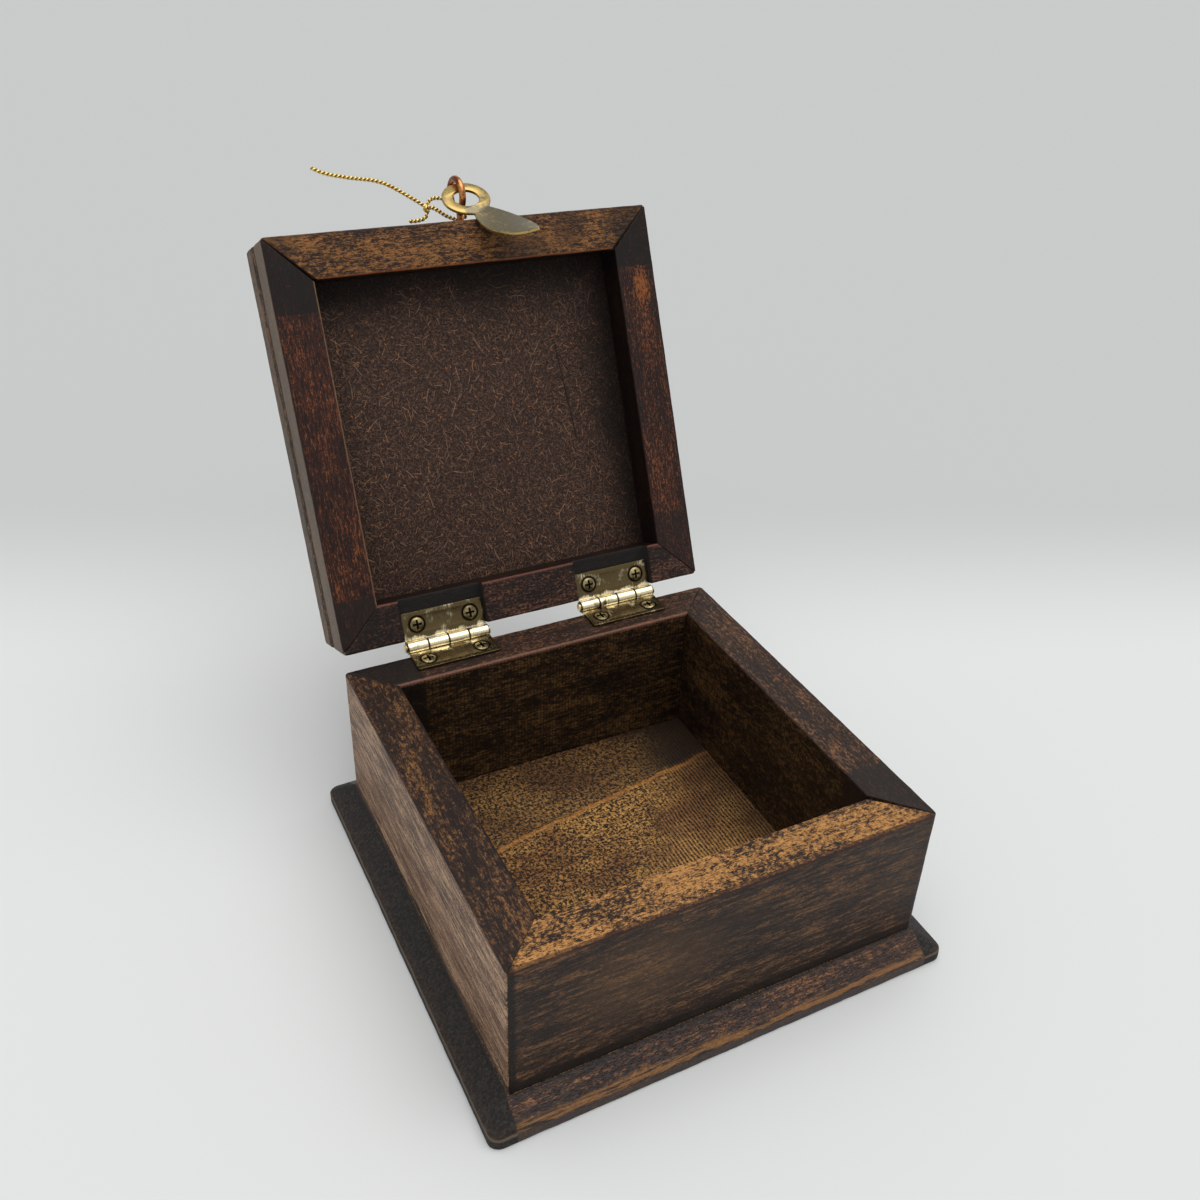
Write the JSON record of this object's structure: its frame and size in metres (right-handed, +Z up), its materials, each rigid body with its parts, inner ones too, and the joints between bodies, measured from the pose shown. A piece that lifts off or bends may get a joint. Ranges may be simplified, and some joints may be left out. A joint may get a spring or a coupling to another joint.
{
  "type": "keepsake box",
  "caption": "Small stained wooden box on a bevelled plinth, with a thick hinged lid that has a recessed inside panel, a screw eye and a leaf-shaped drop pull.",
  "frame": {"origin": "the middle of the plinth's underside, where the box stands", "axes": "+X to the right as the front is faced, +Y to the hinged back, +Z up"},
  "size_m": [0.113, 0.168, 0.1467],
  "materials": {
    "stained_wood": "walnut stain, satin, uneven, with the grain showing",
    "plinth_wood": "walnut stain over sawn wood, golden brown inside the box",
    "top_wood": "walnut stain, satin",
    "hardboard": "rough fibrous board, stained dark, dull",
    "hinge_brass": "aged pressed brass, worn bright at the knuckles",
    "screw_brass": "aged brass, stained dark in the slots",
    "coppered_wire": "coppered wire, glossy",
    "pull_brass": "tumbled brass, olive where it is tarnished, bright at its edges",
    "gold_thread": "twisted metallic thread"
  },
  "bodies": {
    "box": {"plinth_board": "plinth_wood", "front_wall": "stained_wood", "back_wall": "stained_wood", "left_wall": "stained_wood", "right_wall": "stained_wood", "left_hinge_body_leaf": "hinge_brass", "left_hinge_pin": "hinge_brass", "left_hinge_body_screws": "screw_brass", "right_hinge_body_leaf": "hinge_brass", "right_hinge_pin": "hinge_brass", "right_hinge_body_screws": "screw_brass"},
    "lid": {"lid_front_rail": "stained_wood", "lid_back_rail": "stained_wood", "lid_left_rail": "stained_wood", "lid_right_rail": "stained_wood", "lid_panel": "hardboard", "lid_top_board": "top_wood", "left_hinge_lid_leaf": "hinge_brass", "left_hinge_lid_screws": "screw_brass", "right_hinge_lid_leaf": "hinge_brass", "right_hinge_lid_screws": "screw_brass", "screw_eye": "coppered_wire", "thread_long_tail": "gold_thread", "thread_loop": "gold_thread", "thread_knot": "gold_thread", "thread_short_tail": "gold_thread"},
    "pull": {"drop_pull": "pull_brass"}
  },
  "joints": [
    {"name": "lid_hinge", "type": "hinge", "parent": "box", "child": "lid", "pos_m": [0, 0.0527, 0.0435], "axis": [-1, 0, 0], "range_deg": [-114, 0]},
    {"name": "pull_swing", "type": "hinge", "parent": "lid", "child": "pull", "pos_m": [0.002, 0.10413, 0.13898], "axis": [-0.9257, 0.0745, -0.3709], "range_deg": [0, 48]}
  ],
  "couplings": [
    {"joint": "pull_swing", "follows": "lid_hinge", "ratio": -0.421}
  ]
}
